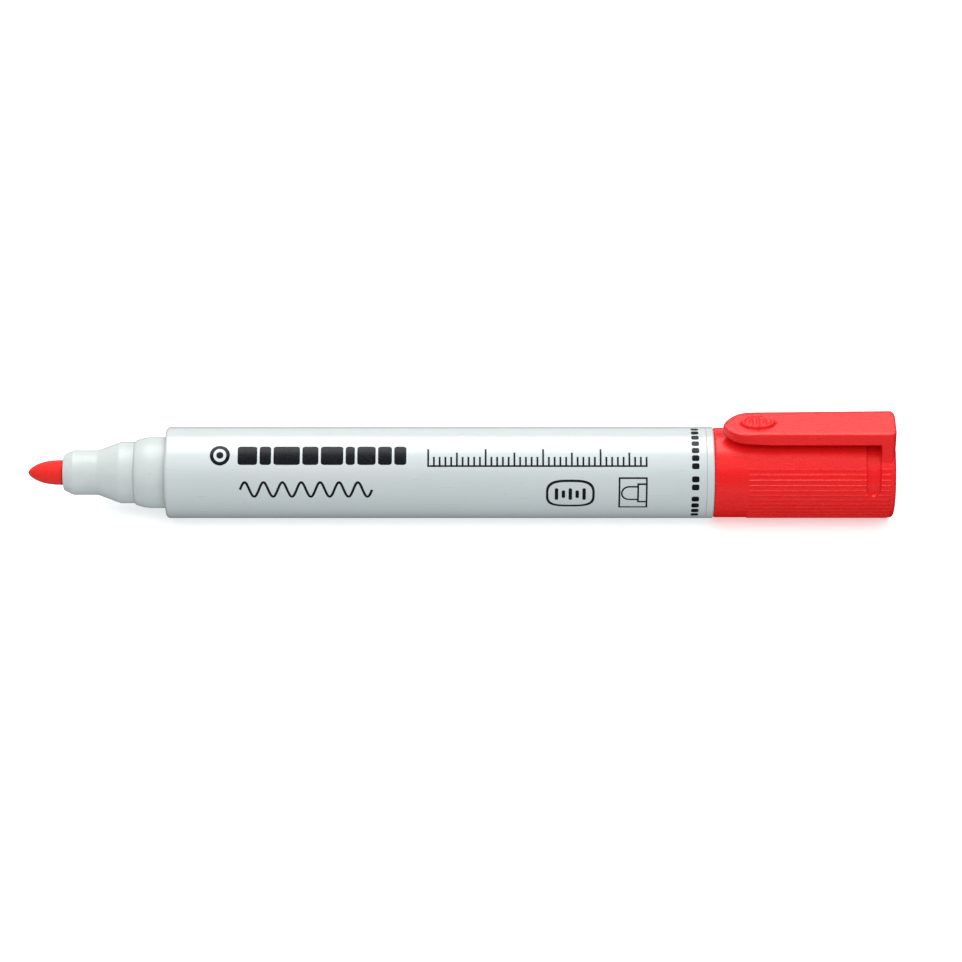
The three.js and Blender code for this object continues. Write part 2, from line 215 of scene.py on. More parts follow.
class Shader:
    """A Principled material with short calls for the patterns that drive it."""

    def __init__(self, name, color, roughness, **constants):
        self.material = bpy.data.materials.new(name)
        self.material.use_nodes = True
        self.tree = self.material.node_tree
        self.principled = self.tree.nodes["Principled BSDF"]
        self.principled.inputs["Base Color"].default_value = (*color, 1)
        self.principled.inputs["Roughness"].default_value = roughness
        self.constants(**constants)

    def constants(self, **sockets):
        """Fixed values on the shader's own sockets, named with _ for each space."""
        for socket, value in sockets.items():
            self.principled.inputs[socket.replace("_", " ")].default_value = value

    def node(self, kind, **settings):
        made = self.tree.nodes.new("ShaderNode" + kind)
        for key, value in settings.items():
            setattr(made, key, value)
        return made

    def link(self, source, target):
        self.tree.links.new(source, target)

    def noise(self, size, stretch=(1, 1, 1), detail=3, roughness=0.55, distortion=0):
        """Noise with blobs of about that size in millimetres, stretched along the axes."""
        place_node = self.node("Mapping")
        place_node.inputs["Scale"].default_value = [1 / s for s in stretch]
        self.link(self.node("TexCoord").outputs["Object"], place_node.inputs["Vector"])
        made = self.node("TexNoise")
        made.inputs["Scale"].default_value = 1 / (size * MM)
        made.inputs["Detail"].default_value = detail
        made.inputs["Roughness"].default_value = roughness
        made.inputs["Distortion"].default_value = distortion
        self.link(place_node.outputs["Vector"], made.inputs["Vector"])
        return made.outputs["Fac"]

    def spread(self, factor, low, high, start=0.3, end=0.7):
        """The factor between start and end, as a number from low to high."""
        made = self.node("MapRange")
        made.inputs["From Min"].default_value = start
        made.inputs["From Max"].default_value = end
        made.inputs["To Min"].default_value = low
        made.inputs["To Max"].default_value = high
        self.link(factor, made.inputs["Value"])
        return made.outputs["Result"]

    def mix(self, factor, first, second):
        """A colour between two, each a tuple or an output."""
        made = self.node("Mix", data_type="RGBA")
        self.link(factor, made.inputs["Factor"])
        for socket, value in ((made.inputs[6], first), (made.inputs[7], second)):
            if isinstance(value, tuple):
                socket.default_value = (*value, 1)
            else:
                self.link(value, socket)
        return made.outputs[2]

    def color(self, output):
        self.link(output, self.principled.inputs["Base Color"])

    def rough(self, output):
        self.link(output, self.principled.inputs["Roughness"])

    def bump(self, *heights):
        """heights are (output, height in millimetres), one bump on top of the other."""
        below = None
        for output, height in heights:
            made = self.node("Bump")
            made.inputs["Distance"].default_value = height * MM
            self.link(output, made.inputs["Height"])
            if below:
                self.link(below, made.inputs["Normal"])
            below = made.outputs["Normal"]
        self.link(below, self.principled.inputs["Normal"])


def tinted(color, share):
    """The colour made darker or lighter by that share."""
    return tuple(c * share for c in color)


def barrel_plastic():
    """Silvery white moulded plastic with a soft gloss and hair-fine handling marks."""
    base = (0.64, 0.69, 0.69)
    made = Shader("barrel_plastic", base, 0.3, Specular_IOR_Level=1.0)
    made.constants(Coat_Weight=0.8, Coat_Roughness=0.25)
    cloud = made.noise(14, stretch=(2.5, 1, 1), detail=2)
    speck = made.noise(0.25, detail=1)
    tone = made.mix(made.spread(cloud, 0, 1), tinted(base, 0.975), tinted(base, 1.02))
    made.color(made.mix(made.spread(speck, 0, 0.25, 0.55, 0.75), tone, tinted(base, 0.9)))
    scuffs = made.noise(0.5, stretch=(14, 1, 1), detail=4)
    made.rough(made.spread(scuffs, 0.27, 0.32))
    made.bump((made.noise(2.2, detail=2), 0.004), (made.noise(0.18, detail=2), 0.0008))
    return made.material


def nose_plastic():
    """Pale grey plastic, a little waxier than the barrel."""
    base = (0.63, 0.675, 0.66)
    made = Shader("nose_plastic", base, 0.3, Specular_IOR_Level=0.6)
    made.constants(Subsurface_Weight=0.5, Subsurface_Scale=0.0025, Subsurface_Radius=(1, 1, 1))
    cloud = made.noise(4, stretch=(2, 1, 1), detail=3)
    made.color(made.mix(made.spread(cloud, 0, 1), tinted(base, 0.96), tinted(base, 1.03)))
    made.rough(made.spread(made.noise(0.6, detail=4), 0.26, 0.38))
    made.bump((made.noise(1.2, detail=2), 0.006), (made.noise(0.12, detail=3), 0.001))
    return made.material


def cap_plastic():
    """Red moulded plastic with a satin skin, flow marks along it and fine grain."""
    base = (0.89, 0.013, 0.014)
    made = Shader("cap_plastic", base, 0.26, Specular_IOR_Level=0.55)
    flow = made.noise(3.5, stretch=(5, 1, 1), detail=4, distortion=0.6)
    grain = made.noise(0.16, detail=2)
    tone = made.mix(made.spread(flow, 0, 1), tinted(base, 0.97), tinted(base, 1.03))
    made.color(made.mix(made.spread(grain, 0, 0.2), tone, tinted(base, 0.88)))
    made.rough(made.spread(made.noise(0.7, stretch=(3, 1, 1), detail=4), 0.24, 0.30))
    made.bump((made.noise(1.6, stretch=(2, 1, 1), detail=2), 0.002), (grain, 0.0007))
    return made.material


def nib_fibre():
    """Felted fibre soaked with red ink: strands run along the nib, and it is matt."""
    base = (0.88, 0.02, 0.015)
    made = Shader("nib_fibre", base, 0.72, Specular_IOR_Level=0.3)
    made.constants(Sheen_Weight=0.15, Sheen_Roughness=0.5)
    strand = made.noise(0.09, stretch=(16, 1, 1), detail=3)
    pore = made.noise(0.13, stretch=(2, 1, 1), detail=2)
    soaked = made.noise(1.8, detail=3)
    tone = made.mix(made.spread(soaked, 0, 1), tinted(base, 0.9), tinted(base, 1.08))
    made.color(made.mix(made.spread(strand, 0, 0.5, 0.5, 0.75), tone, tinted(base, 0.62)))
    made.rough(made.spread(pore, 0.6, 0.85))
    made.bump((strand, 0.012), (pore, 0.008))
    return made.material


def print_ink():
    """Black screen-printed ink, a little thin in places."""
    base = (0.004, 0.005, 0.006)
    thin = (0.012, 0.014, 0.016)
    made = Shader("print_ink", base, 0.3, Specular_IOR_Level=0.35)
    made.color(made.mix(made.spread(made.noise(0.3, detail=4), 0, 1), base, thin))
    made.rough(made.spread(made.noise(0.5, detail=3), 0.24, 0.36))
    made.bump((made.noise(0.2, detail=3), 0.002))
    return made.material


def liner_plastic():
    """Natural polypropylene, milky and dull."""
    base = (0.80, 0.79, 0.74)
    made = Shader("liner_plastic", base, 0.45, Subsurface_Weight=0.2, Subsurface_Scale=0.001)
    cloud = made.noise(3, detail=3)
    made.color(made.mix(made.spread(cloud, 0, 1), tinted(base, 0.94), tinted(base, 1.04)))
    made.rough(made.spread(made.noise(0.4, detail=3), 0.4, 0.55))
    made.bump((made.noise(0.2, detail=3), 0.003))
    return made.material


def reservoir_fibre():
    """A bundle of crimped fibre, darker where it holds more ink."""
    base = (0.55, 0.03, 0.022)
    made = Shader("reservoir_fibre", base, 0.9, Sheen_Weight=0.3)
    strand = made.noise(0.2, stretch=(20, 1, 1), detail=4)
    soaked = made.noise(6, stretch=(2, 1, 1), detail=3)
    tone = made.mix(made.spread(soaked, 0, 1), tinted(base, 0.7), tinted(base, 1.25))
    made.color(made.mix(made.spread(strand, 0, 0.6), tone, tinted(base, 0.5)))
    made.rough(made.spread(strand, 0.82, 0.97))
    made.bump((strand, 0.05))
    return made.material


def film():
    """Clear plastic film, wrapped with fine creases."""
    base = (0.86, 0.88, 0.9)
    made = Shader("film", base, 0.12, Alpha=0.35, Specular_IOR_Level=0.6)
    crease = made.noise(2.4, stretch=(6, 1, 1), detail=4, distortion=1)
    made.color(made.mix(made.spread(crease, 0, 1), tinted(base, 0.92), base))
    made.rough(made.spread(crease, 0.08, 0.22))
    made.bump((crease, 0.04))
    return made.material


BARREL_PLASTIC = barrel_plastic()
NOSE_PLASTIC = nose_plastic()
CAP_PLASTIC = cap_plastic()
NIB_FIBRE = nib_fibre()
PRINT_INK = print_ink()
LINER_PLASTIC = liner_plastic()
RESERVOIR_FIBRE = reservoir_fibre()
FILM = film()


# ---------------------------------------------------------------- writing end


def build_nib():
    """A bullet point on a long fibre rod, slightly uneven, and narrower where the nose grips it."""
    steps = 26
    point = []
    for i in range(steps + 1):
        along = 1 - math.cos(i / steps * math.pi / 2)
        swell = (1 - (1 - along) ** NIB_POINT_FULLNESS) ** NIB_POINT_BLUNTNESS
        point.append((NIB_TIP + along * NIB_POINT, swell * NIB_RADIUS))
    grip = NIB_TIP + NIB_POINT
    neck = NIB_RADIUS - NIB_GRIP_DEPTH
    mouth = [(grip + 0.05, neck), (grip + 0.5, neck)]
    rod = [(grip + 0.55 + step, NIB_RADIUS) for step in range(31)]
    rear = [(NIB_END - NIB_REAR_POINT, NIB_RADIUS), (NIB_END, NIB_REAR_RADIUS), (NIB_END, 0)]

    def unevenness(x, r, angle):
        spot = Vector((x * 0.8, r * math.cos(angle) * 2.2, r * math.sin(angle) * 2.2))
        return -0.022 * abs(noise.noise(spot)) * min(1, r)

    piece = turned("nib_bullet", point + mouth + rod + rear, NIB_FIBRE, lift=unevenness)
    stands_for(piece, "nib", "barrel")


def build_nose():
    """The nose cone, with a chamfered face, a straight neck and a flare."""
    bore = NIB_RADIUS + FIT_GAP
    sleeve_start = COLLAR_START - SEAM_GAP
    profile = filleted([
        (NOSE_START + 1, bore, 0.2),
        (NOSE_START, bore + 0.22, 0.06),
        (NOSE_START, NOSE_MOUTH_RADIUS, 0.22),
        (NOSE_START + NOSE_CHAMFER, NOSE_RADIUS, 0.4),
        (NOSE_START + NOSE_STRAIGHT_END, NOSE_RADIUS, 1.2),
        (NOSE_START + NOSE_FLARE_END, NOSE_NECK, 0.9),
        (sleeve_start, NOSE_NECK, SEAM_ROUND),
        (sleeve_start, NOSE_SLEEVE, 0),
        (NOSE_END, NOSE_SLEEVE, 0.2),
        (NOSE_END, NOSE_BORE, 0.2),
        (NOSE_START + NOSE_FLARE_END, NOSE_BORE, 0.5),
        (NOSE_START + NOSE_STRAIGHT_END, bore, 0.5),
    ], closed=True, steps=8)
    stands_for(turned("nose_cone", profile, NOSE_PLASTIC), "nib_holder", "barrel")


def build_collar():
    """The ring that the cap seals on. Its lip swells to the full radius."""
    shoulder = BARREL_START - SEAM_GAP
    steps = 12
    swell = []
    for i in range(steps + 1):
        rise = math.sin(i / steps * math.pi / 2) * (COLLAR - COLLAR_LIP)
        swell.append((COLLAR_START + 0.1 + i / steps * COLLAR_BULGE, COLLAR_LIP + rise))
    inside = filleted([
        (shoulder - 1, COLLAR, 0),
        (shoulder, COLLAR, 0.06),
        (shoulder, COLLAR_SPIGOT, 0),
        (COLLAR_END, COLLAR_SPIGOT, 0.3),
        (COLLAR_END, COLLAR_BORE, 0.2),
        (COLLAR_START, COLLAR_BORE, 0.1),
        (COLLAR_START, COLLAR_LIP - 0.1, 0),
    ])
    profile = swell + inside + swell[:1]
    stands_for(turned("seal_collar", profile, NOSE_PLASTIC), "front_collar", "barrel")


# ---------------------------------------------------------------- barrel


def build_barrel():
    """The body tube, with a round front shoulder."""
    inner = BARREL_START + BARREL_FRONT_WALL
    profile = filleted([
        (BARREL_START, BARREL_MOUTH, 0.15),
        (BARREL_START, BODY, BARREL_CORNER),
        (BARREL_END, BODY, 0.06),
        (BARREL_END, BARREL_BORE, 0.1),
        (inner, BARREL_BORE, 0.4),
        (inner, BARREL_MOUTH, 0.1),
    ], closed=True, steps=8)
    stands_for(turned("barrel_tube", profile, BARREL_PLASTIC), "barrel", "barrel")


def build_plug():
    """The rear plug: a flange that shows beside the cap, and the post that the cap is pushed on."""
    flange_start = BARREL_END + SEAM_GAP
    flange_end = CAP_RIM - FIT_GAP
    post_floor = PLUG_END - POST_END_WALL
    spigot = BARREL_BORE - FIT_GAP
    profile = filleted([
        (post_floor, 0, 0),
        (post_floor, POST_BORE, 0.5),
        (PLUG_START, POST_BORE, 0.2),
        (PLUG_START, spigot, 0.3),
        (flange_start, spigot, 0),
        (flange_start, BODY, 0.06),
        (flange_end, BODY, 0.3),
        (flange_end, POST, 0.25),
        (PLUG_END, POST, 0.55),
        (PLUG_END, 0, 0),
    ], steps=6)
    stands_for(turned("rear_plug", profile, BARREL_PLASTIC), "end_plug", "barrel")


# ---------------------------------------------------------------- ink reservoir

FIBRE_GROOVE_DEPTH = 1.35
FIBRE_GROOVE_HALF_ANGLE = 0.13
FIBRE_UNEVENNESS = 0.05
FILM_THICKNESS = 0.12
AIR_TUBE_BORE_SHARE = 0.6


def fibre_lengths():
    """Places along the reservoir, at one pitch from end to end."""
    steps = 60
    return [FIBRE_START + (FIBRE_END - FIBRE_START) * i / steps for i in range(steps + 1)]


def build_reservoir():
    """The fibre bundle, with a socket for the nib and a groove under it for the air tube."""
    fibre = radius("ink_reservoir")
    socket = NIB_RADIUS + FIT_GAP
    socket_end = NIB_END + FIT_GAP
    outside = [(x, fibre - 0.06) for x in fibre_lengths()]
    profile = [(socket_end, 0), (socket_end, socket), (FIBRE_START, socket), *outside, (FIBRE_END, 0)]

    def bundle(x, r, angle):
        if r < fibre - 1:
            return 0
        groove = -FIBRE_GROOVE_DEPTH * math.exp(-(((angle - math.pi) / FIBRE_GROOVE_HALF_ANGLE) ** 2))
        spot = Vector((x * 0.1, math.cos(angle) * 9, math.sin(angle) * 9))
        return groove + FIBRE_UNEVENNESS * noise.noise(spot)

    piece = turned("fibre_reservoir", profile, RESERVOIR_FIBRE, angles=even_angles(240), lift=bundle)
    stands_for(piece, "ink_reservoir", "barrel")


def build_film():
    """The thin sleeve round the fibre."""
    outer = radius("reservoir_film")
    lengths = fibre_lengths()
    sleeve = [(x, outer) for x in lengths] + [(x, outer - FILM_THICKNESS) for x in reversed(lengths)]
    piece = turned("film_wrap", [*sleeve, sleeve[0]], FILM)
    stands_for(piece, "reservoir_film", "barrel")


def build_air_tube():
    """The thin tube that lets air into the reservoir's rear."""
    air_low, air_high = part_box("breather_tube")
    height = (air_low.z + air_high.z) / 2 / MM - AXIS_HEIGHT
    air = (air_high.z - air_low.z) / 2 / MM
    bore = air * AIR_TUBE_BORE_SHARE
    tube = [(FIBRE_START, bore), (FIBRE_START, air), (FIBRE_END, air), (FIBRE_END, bore)]
    piece = turned("air_tube", [*tube, tube[0]], LINER_PLASTIC, angles=even_angles(32))
    piece.location.z = height * MM
    stands_for(piece, "breather_tube", "barrel")


# ---------------------------------------------------------------- cap, in distances from its rim

CAP_LENGTH = CAP_END - CAP_RIM
CAP_RADIUS = 7.88
RIB_FIRST = math.radians(46.8)
RIB_PITCH = math.radians(6.83)
RIBS_A_SIDE = 20
RIB_UPPER_SIDE = math.radians(1.0)
RIB_LOWER_SIDE = math.radians(2.3)
RIB_HEIGHT = 0.13
RIB_START = 5.7
RIB_END = 30.85
RIB_FADE = 0.4
SLOT_RADIUS = 1.3
SLOT_MIDDLE = CAP_LENGTH - 2.6 - SLOT_RADIUS
SLOT_DEPTH = 0.65
SLOT_END_ANGLE = math.radians(83) - math.asin(SLOT_RADIUS / BODY)
SLOT_WALL = 0.16
CAP_RIM_ROUND = 0.35
CAP_END_ROUND = 0.6
DIMPLE_RADIUS = 1.3
DIMPLE_FLOOR_RADIUS = 1.0
DIMPLE_DEPTH = 0.25


def signed(angle):
    """The angle from minus half a turn to half a turn."""
    return (angle + math.pi) % TURN - math.pi


def slot_share(x, angle):
    """1 on the slot's floor and 0 outside it."""
    beyond = max(0, abs(signed(angle)) - SLOT_END_ANGLE) * BODY
    inside = SLOT_RADIUS - math.hypot(x - SLOT_MIDDLE, beyond)
    return smooth_step(inside / SLOT_WALL)


def rib_share(x, angle):
    """1 on the crest of a grip rib and 0 between ribs. The side away from the clip is the gentler."""
    turn = abs(signed(angle)) - RIB_FIRST
    nearest = min(RIBS_A_SIDE - 1, max(0, round(turn / RIB_PITCH)))
    off = turn - nearest * RIB_PITCH
    off = off / RIB_LOWER_SIDE if off > 0 else -off / RIB_UPPER_SIDE
    if off >= 1:
        return 0
    ends = smooth_step((x - RIB_START) / RIB_FADE) * smooth_step((RIB_END - x) / RIB_FADE)
    return math.cos(off * math.pi / 2) ** 1.5 * ends


def cap_lift(x, r, angle):
    """What the slot and the ribs add to the cap's outer radius."""
    x = x - CAP_RIM
    if r < CAP_RADIUS - 0.01:
        return 0
    slot = slot_share(x, angle)
    return rib_share(x, angle) * RIB_HEIGHT * (1 - slot) - SLOT_DEPTH * slot


def filled_in(stops, widest):
    """The stops, with more between any two that are further apart than widest(stop) allows."""
    stops = sorted(stops)
    made = stops[:1]
    for stop in stops[1:]:
        start = made[-1]
        parts = max(1, math.ceil((stop - start) / widest((start + stop) / 2) - 1e-6))
        made += [start + (stop - start) * (k + 1) / parts for k in range(parts)]
    return made


def cap_angles():
    """Angles that follow each rib's section, and lie close together at the slot's ends."""
    section = [-1, -0.75, -0.5, -0.25, 0, 0.25, 0.5, 0.75, 1]
    stops = {0.0, TURN / 2, TURN}
    for rib in range(RIBS_A_SIDE):
        for share in section:
            side = RIB_LOWER_SIDE if share > 0 else RIB_UPPER_SIDE
            angle = RIB_FIRST + rib * RIB_PITCH + share * side
            stops |= {angle, TURN - angle}

    def widest(angle):
        past_end = abs(signed(angle)) - SLOT_END_ANGLE
        near_end = abs(past_end - math.radians(5)) < math.radians(7)
        return math.radians(0.7 if near_end else 3)

    return filled_in(stops, widest)[:-1]


def build_cap():
    """The cap: a shell with a round rim, fine grip ribs, the moulding slot and a closed flat end."""
    ends = [RIB_START, RIB_START + RIB_FADE, RIB_END - RIB_FADE, RIB_END]
    slot = [SLOT_MIDDLE - SLOT_RADIUS - 0.1, SLOT_MIDDLE + SLOT_RADIUS + 0.1]
    start, end = 0.4, CAP_LENGTH - 0.65

    def widest(x):
        if slot[0] < x < slot[1]:
            return 0.08
        return 0.12 if any(abs(x - stop) < RIB_FADE for stop in ends) else 1.5

    straight = [(CAP_RIM + x, CAP_RADIUS) for x in filled_in([start, *ends, *slot, end], widest)]
    rim = filleted([
        (CAP_RIM + 3, CAP_BORE, 0),
        (CAP_RIM, CAP_BORE, CAP_RIM_ROUND),
        (CAP_RIM, CAP_RADIUS, CAP_RIM_ROUND),
        (CAP_RIM + start, CAP_RADIUS, 0),
    ], steps=7)
    closed_end = filleted([
        (CAP_RIM + end, CAP_RADIUS, 0),
        (CAP_END, CAP_RADIUS, CAP_END_ROUND),
        (CAP_END, DIMPLE_RADIUS, 0.1),
        (CAP_END - DIMPLE_DEPTH, DIMPLE_FLOOR_RADIUS, 0.1),
        (CAP_END - DIMPLE_DEPTH, 0, 0),
    ], steps=8)
    floor = CAP_END - CAP_END_WALL
    inside = filleted([(floor, 0, 0), (floor, CAP_BORE, 0.4), (CAP_RIM + 3, CAP_BORE, 0)])
    profile = inside[:-1] + rim[:-1] + straight[:-1] + closed_end
    piece = turned("cap_body", profile, CAP_PLASTIC, angles=cap_angles(), lift=cap_lift, sharp=60)
    stands_for(piece, "cap_shell", "cap")


# ---------------------------------------------------------------- inner cap

LINER_CUP_DEPTH = 13.5
LINER_CUP_BORE = 4
LINER_CUP = 5
LINER_WALL = 1


def build_liner():
    """The cup in the cap that closes round the nose."""
    cup_bore = LINER_CUP_BORE
    cup = LINER_CUP
    skirt = radius("inner_cap")
    floor = LINER_START + LINER_CUP_DEPTH
    profile = filleted([
        (floor, 0, 0),
        (floor, cup_bore, 0.6),
        (LINER_START + 0.6, cup_bore, 1),
        (LINER_START, cup_bore + 0.4, 0.15),
        (LINER_START, cup, 0.2),
        (floor, cup, 0.3),
        (floor, skirt, 0.3),
        (LINER_END, skirt, 0.15),
        (LINER_END, skirt - LINER_WALL, 0.15),
        (floor + LINER_WALL, skirt - LINER_WALL, 0.3),
        (floor + LINER_WALL, 0, 0),
    ])
    stands_for(turned("liner_cup", profile, LINER_PLASTIC), "inner_cap", "cap")


# ---------------------------------------------------------------- clip

clip_low, clip_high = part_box("clip")
CLIP_ROOT_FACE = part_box("cap_shell")[1].z / MM - AXIS_HEIGHT
CLIP_TIP_FACE = CLIP_ROOT_FACE - 0.2
CLIP_TIP_DIP = 0.4
CLIP_DIP_LENGTH = 6.5
CLIP_THICKNESS = 2.1
CLIP_ROOT_HALF = (clip_high.y - clip_low.y) / 2 / MM
CLIP_TIP_HALF = CLIP_ROOT_HALF - 0.2
CLIP_TIP_LENGTH = 4.4
CLIP_TIP_POINTEDNESS = 1.3
CLIP_STRAIGHT = CLIP_TIP + CLIP_TIP_LENGTH
CLIP_WALL = CLIP_HINGE + 0.3
# Just short of the cap's closed end, so that the two end faces don't lie in one plane.
CLIP_END = CAP_END - 0.03
CLIP_BASE = 6.5
CLIP_EDGE_BAND = 0.75
CLIP_DRAFT = 0.2
CLIP_DRAFT_START = CLIP_TIP + 2
CLIP_DRAFT_RISE = 7
CLIP_ROOT_FLARE = 0.08
CLIP_ROOT_FLARE_TOP = 8.4
CLIP_BASE_SINK = 0.65
CLIP_TOP_ROUND = 0.34
CLIP_LOW_ROUND = 0.22
CLIP_END_EDGE_EXTRA = 0.26
CLIP_END_ROUND = 0.8
CLIP_END_ROUND_WIDTH = 1.6
CLIP_WALL_FILLET = 0.25
FOOT_MIDDLE = CLIP_TIP + 2.15
FOOT_HALF_LENGTH = 0.8
FOOT_HALF_WIDTH = 1.6
FOOT_TAPER = 0.22
FOOT_TOP = 9.4
FOOT_POWER = 0.5
PAD_MIDDLE = CAP_RIM + 7.45
PAD_HALF_LENGTH = 3.15
PAD_HALF_WIDTH = 1.85
PAD_HEIGHT = 0.6
PAD_DISH_DEPTH = 0.22
PAD_RIDGE_PITCH = 1.2
PAD_RIDGE_HALF_WIDTH = 0.26


def clip_straight_face(x):
    """The height over the axis of the clip's outer face, without the bend at its tip."""
    share = (x - CLIP_TIP) / (CAP_END - CLIP_TIP)
    return CLIP_TIP_FACE + (CLIP_ROOT_FACE - CLIP_TIP_FACE) * share


def clip_face(x):
    """The height of the clip's outer face over the axis. It bends down towards the tip."""
    dip = max(0, 1 - (x - CLIP_TIP) / CLIP_DIP_LENGTH)
    return clip_straight_face(x) - CLIP_TIP_DIP * dip**2


def pad_height(x, y):
    """A raised oval pad with a low rim and three cross ridges, for the thumb."""
    off = math.hypot((x - PAD_MIDDLE) / PAD_HALF_LENGTH, y / PAD_HALF_WIDTH)
    body = smooth_step((1 - off) / 0.12)
    dish = smooth_step((0.8 - off) / 0.14)
    from_ridges = [(x - PAD_MIDDLE - k * PAD_RIDGE_PITCH) / PAD_RIDGE_HALF_WIDTH for k in (-1, 0, 1)]
    ridge = max(math.exp(-(distance**2)) for distance in from_ridges)
    dished = dish * (1 - ridge * smooth_step((0.74 - off) / 0.2))
    return PAD_HEIGHT * body - PAD_DISH_DEPTH * dished


def clip_underside(x):
    """The height of the clip's lower side: the arm's, or inside the cap where the root joins it."""
    if x >= CLIP_WALL:
        return CLIP_BASE
    into = max(0, x - CLIP_WALL + CLIP_WALL_FILLET)
    drop = CLIP_WALL_FILLET - math.sqrt(CLIP_WALL_FILLET**2 - into**2)
    return clip_straight_face(x) - CLIP_THICKNESS - drop


def clip_outline():
    """Points round the clip's outline as (x, y, outward x, outward y), from above."""
    tip = []
    for k in range(40):
        turn = math.pi / 2 * k / 40
        out_x, out_y = -math.cos(turn), math.sin(turn)
        x = CLIP_STRAIGHT + CLIP_TIP_LENGTH * out_x
        tip.append((x, CLIP_TIP_HALF * out_y**CLIP_TIP_POINTEDNESS, out_x, out_y))

    def widest(x):
        if x < PAD_MIDDLE + PAD_HALF_LENGTH:
            return 0.13
        return 0.05 if CLIP_WALL - 0.4 < x < CLIP_WALL + 0.1 else 0.5

    corner = CLIP_END - CLIP_END_ROUND
    stops = [CLIP_STRAIGHT, PAD_MIDDLE + PAD_HALF_LENGTH, CLIP_WALL - 0.4, CLIP_WALL - 0.001]
    side = []
    for x in filled_in([*stops, CLIP_WALL + 0.02, CLIP_WALL + 0.3, corner], widest):
        share = (x - CLIP_STRAIGHT) / (CLIP_END - CLIP_STRAIGHT)
        side.append((x, CLIP_TIP_HALF + (CLIP_ROOT_HALF - CLIP_TIP_HALF) * share, 0, 1))
    corner_y = side[-1][1] - CLIP_END_ROUND_WIDTH
    for k in range(1, 9):
        out_x, out_y = math.sin(math.pi / 2 * k / 8), math.cos(math.pi / 2 * k / 8)
        spot = (corner + CLIP_END_ROUND * out_x, corner_y + CLIP_END_ROUND_WIDTH * out_y)
        side.append((*spot, out_x, out_y))
    side += [(CLIP_END, corner_y * (1 - k / 6), 1, 0) for k in range(1, 7)]
    upper = tip + side
    lower = [(x, -y, out_x, -out_y) for x, y, out_x, out_y in reversed(upper[1:-1])]
    return upper + lower


def clip_rings():
    """Rings from the middle of the upper face, over the edge and down, to the middle of the lower."""
    outline = clip_outline()
    deep = CLIP_EDGE_BAND
    middle_end = CLIP_END - CLIP_END_ROUND

    def ring(inset, height, flared=False):
        """The outline moved in by inset, square to itself up to deep and then towards the middle line."""
        points = []
        for x, y, out_x, out_y in outline:
            spot_x = x - out_x * min(inset, deep)
            spot_y = y - out_y * min(inset, deep)
            if inset > deep:
                share = (inset - deep) / (CLIP_TIP_HALF - deep)
                middle_x = min(middle_end, max(CLIP_STRAIGHT, x))
                spot_x += (middle_x - spot_x) * share
                spot_y -= spot_y * share
            z = height(spot_x, spot_y, x)
            if flared:
                below_face = clip_face(x) - z
                draft = CLIP_DRAFT * smooth_step((x - CLIP_DRAFT_START) / CLIP_DRAFT_RISE) * below_face
                if x >= CLIP_WALL:
                    draft += CLIP_ROOT_FLARE * max(0, CLIP_ROOT_FLARE_TOP - z) ** 2
                spot_y += draft * max(0, 1 - inset / deep) * out_y
            points.append((spot_x, spot_y, z))
        return points

    def top(turn):
        """The upper face, that far round its rounded edge, which is larger at the closed end."""
        def height(x, y, edge_x):
            edge = CLIP_TOP_ROUND + CLIP_END_EDGE_EXTRA * smooth_step((edge_x - CAP_END + 1.4) / 1.2)
            return clip_face(x) + pad_height(x, y) - edge * (1 - math.cos(turn))
        return height

    def low(rise):
        """The lower side, or that far over it."""
        def height(x, y, edge_x):
            sink = CLIP_BASE_SINK * (y / CLIP_ROOT_HALF) ** 2 if edge_x >= CLIP_WALL else 0
            return clip_underside(edge_x) + rise - sink
        return height

    def wall(share):
        """The side, that share of the way down."""
        def height(x, y, edge_x):
            upper = top(math.pi / 2)(x, y, edge_x)
            return upper + (low(CLIP_LOW_ROUND)(x, y, edge_x) - upper) * share
        return height

    rings = [ring(deep + (CLIP_TIP_HALF - deep) * (1 - k / 20), top(0)) for k in range(21)]
    for k in range(7):
        turn = math.pi / 2 * k / 6
        rings.append(ring(CLIP_TOP_ROUND * (1 - math.sin(turn)), top(turn)))
    rings += [ring(0, wall(k / 8), flared=True) for k in range(1, 8)]
    for k in range(5):
        turn = math.pi / 2 * (1 - k / 4)
        inset = CLIP_LOW_ROUND * (1 - math.sin(turn))
        rings.append(ring(inset, low(CLIP_LOW_ROUND * (1 - math.cos(turn))), flared=True))
    rings += [ring(deep + (CLIP_TIP_HALF - deep) * k / 6, low(0)) for k in range(7)]
    return rings


def foot_rings():
    """The round-edged foot under the arm, from inside the arm down to the cap's surface."""
    rings = []
    for k in range(6):
        share = k / 5
        shrink = 1 - FOOT_TAPER * smooth_step(share)
        ring = []
        for angle in even_angles(32):
            c, d = math.cos(angle), math.sin(angle)
            x = FOOT_MIDDLE + FOOT_HALF_LENGTH * shrink * math.copysign(abs(c) ** FOOT_POWER, c)
            y = FOOT_HALF_WIDTH * shrink * math.copysign(abs(d) ** FOOT_POWER, d)
            floor = math.sqrt(CAP_RADIUS**2 - y**2) + FIT_GAP
            ring.append((x, y, FOOT_TOP + (floor - FOOT_TOP) * share))
        rings.append(ring)
    return rings


def build_clip():
    """The pocket clip, moulded in one with the cap, rising out of the cap's end wall."""
    bm = bmesh.new()

    def corners(ring):
        return [bm.verts.new(Vector((x, y, AXIS_HEIGHT + z)) * MM) for x, y, z in ring]

    arm = [corners(ring) for ring in clip_rings()]
    foot = [corners(ring) for ring in foot_rings()]
    for made in (arm, foot):
        for near, far in zip(made, made[1:]):
            bridge(bm, near, far)
    bm.faces.new(foot[0])
    bm.faces.new(foot[-1])
    piece = finish_mesh(bm, "clip_arm", CAP_PLASTIC, sharp=60)
    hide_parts("clip")
    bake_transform(piece)


# ---------------------------------------------------------------- print on the barrel

